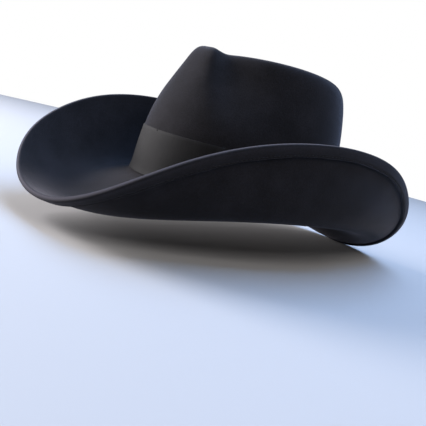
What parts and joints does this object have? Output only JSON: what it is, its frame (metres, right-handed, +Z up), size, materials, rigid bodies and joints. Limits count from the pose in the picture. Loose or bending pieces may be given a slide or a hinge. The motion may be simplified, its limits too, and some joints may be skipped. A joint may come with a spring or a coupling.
{
  "type": "cowboy hat",
  "caption": "Felt cowboy hat with a pinched crown, side-curled brim with a welted edge, wide grosgrain band, leather sweatband and satin lining.",
  "frame": {"origin": "centre of the head opening, level with the line where crown meets brim", "axes": "+Z up through the crown, -Y towards the front of the hat, +X towards the wearer's left"},
  "size_m": [0.268, 0.3927, 0.1653],
  "materials": {
    "felt": "brushed felt nap",
    "ribbon": "ribbed grosgrain",
    "thread": "twisted thread",
    "leather": "smooth roan leather",
    "reed": "drawn cord",
    "tape": "woven tape",
    "bow_satin": "satin ribbon",
    "satin": "satin",
    "piping": "satin covered cord"
  },
  "bodies": {
    "root": {"felt_body": "felt", "welt_stitching": "thread", "hat_band": "ribbon", "band_bow": "ribbon", "bow_knot": "ribbon", "band_tacks": "thread", "sweatband": "leather", "sweatband_reed": "reed", "reed_tape": "tape", "sweatband_stitching": "thread", "sweatband_bow": "bow_satin", "lining_side": "satin", "lining_tip": "satin", "lining_piping": "piping"}
  },
  "joints": []
}
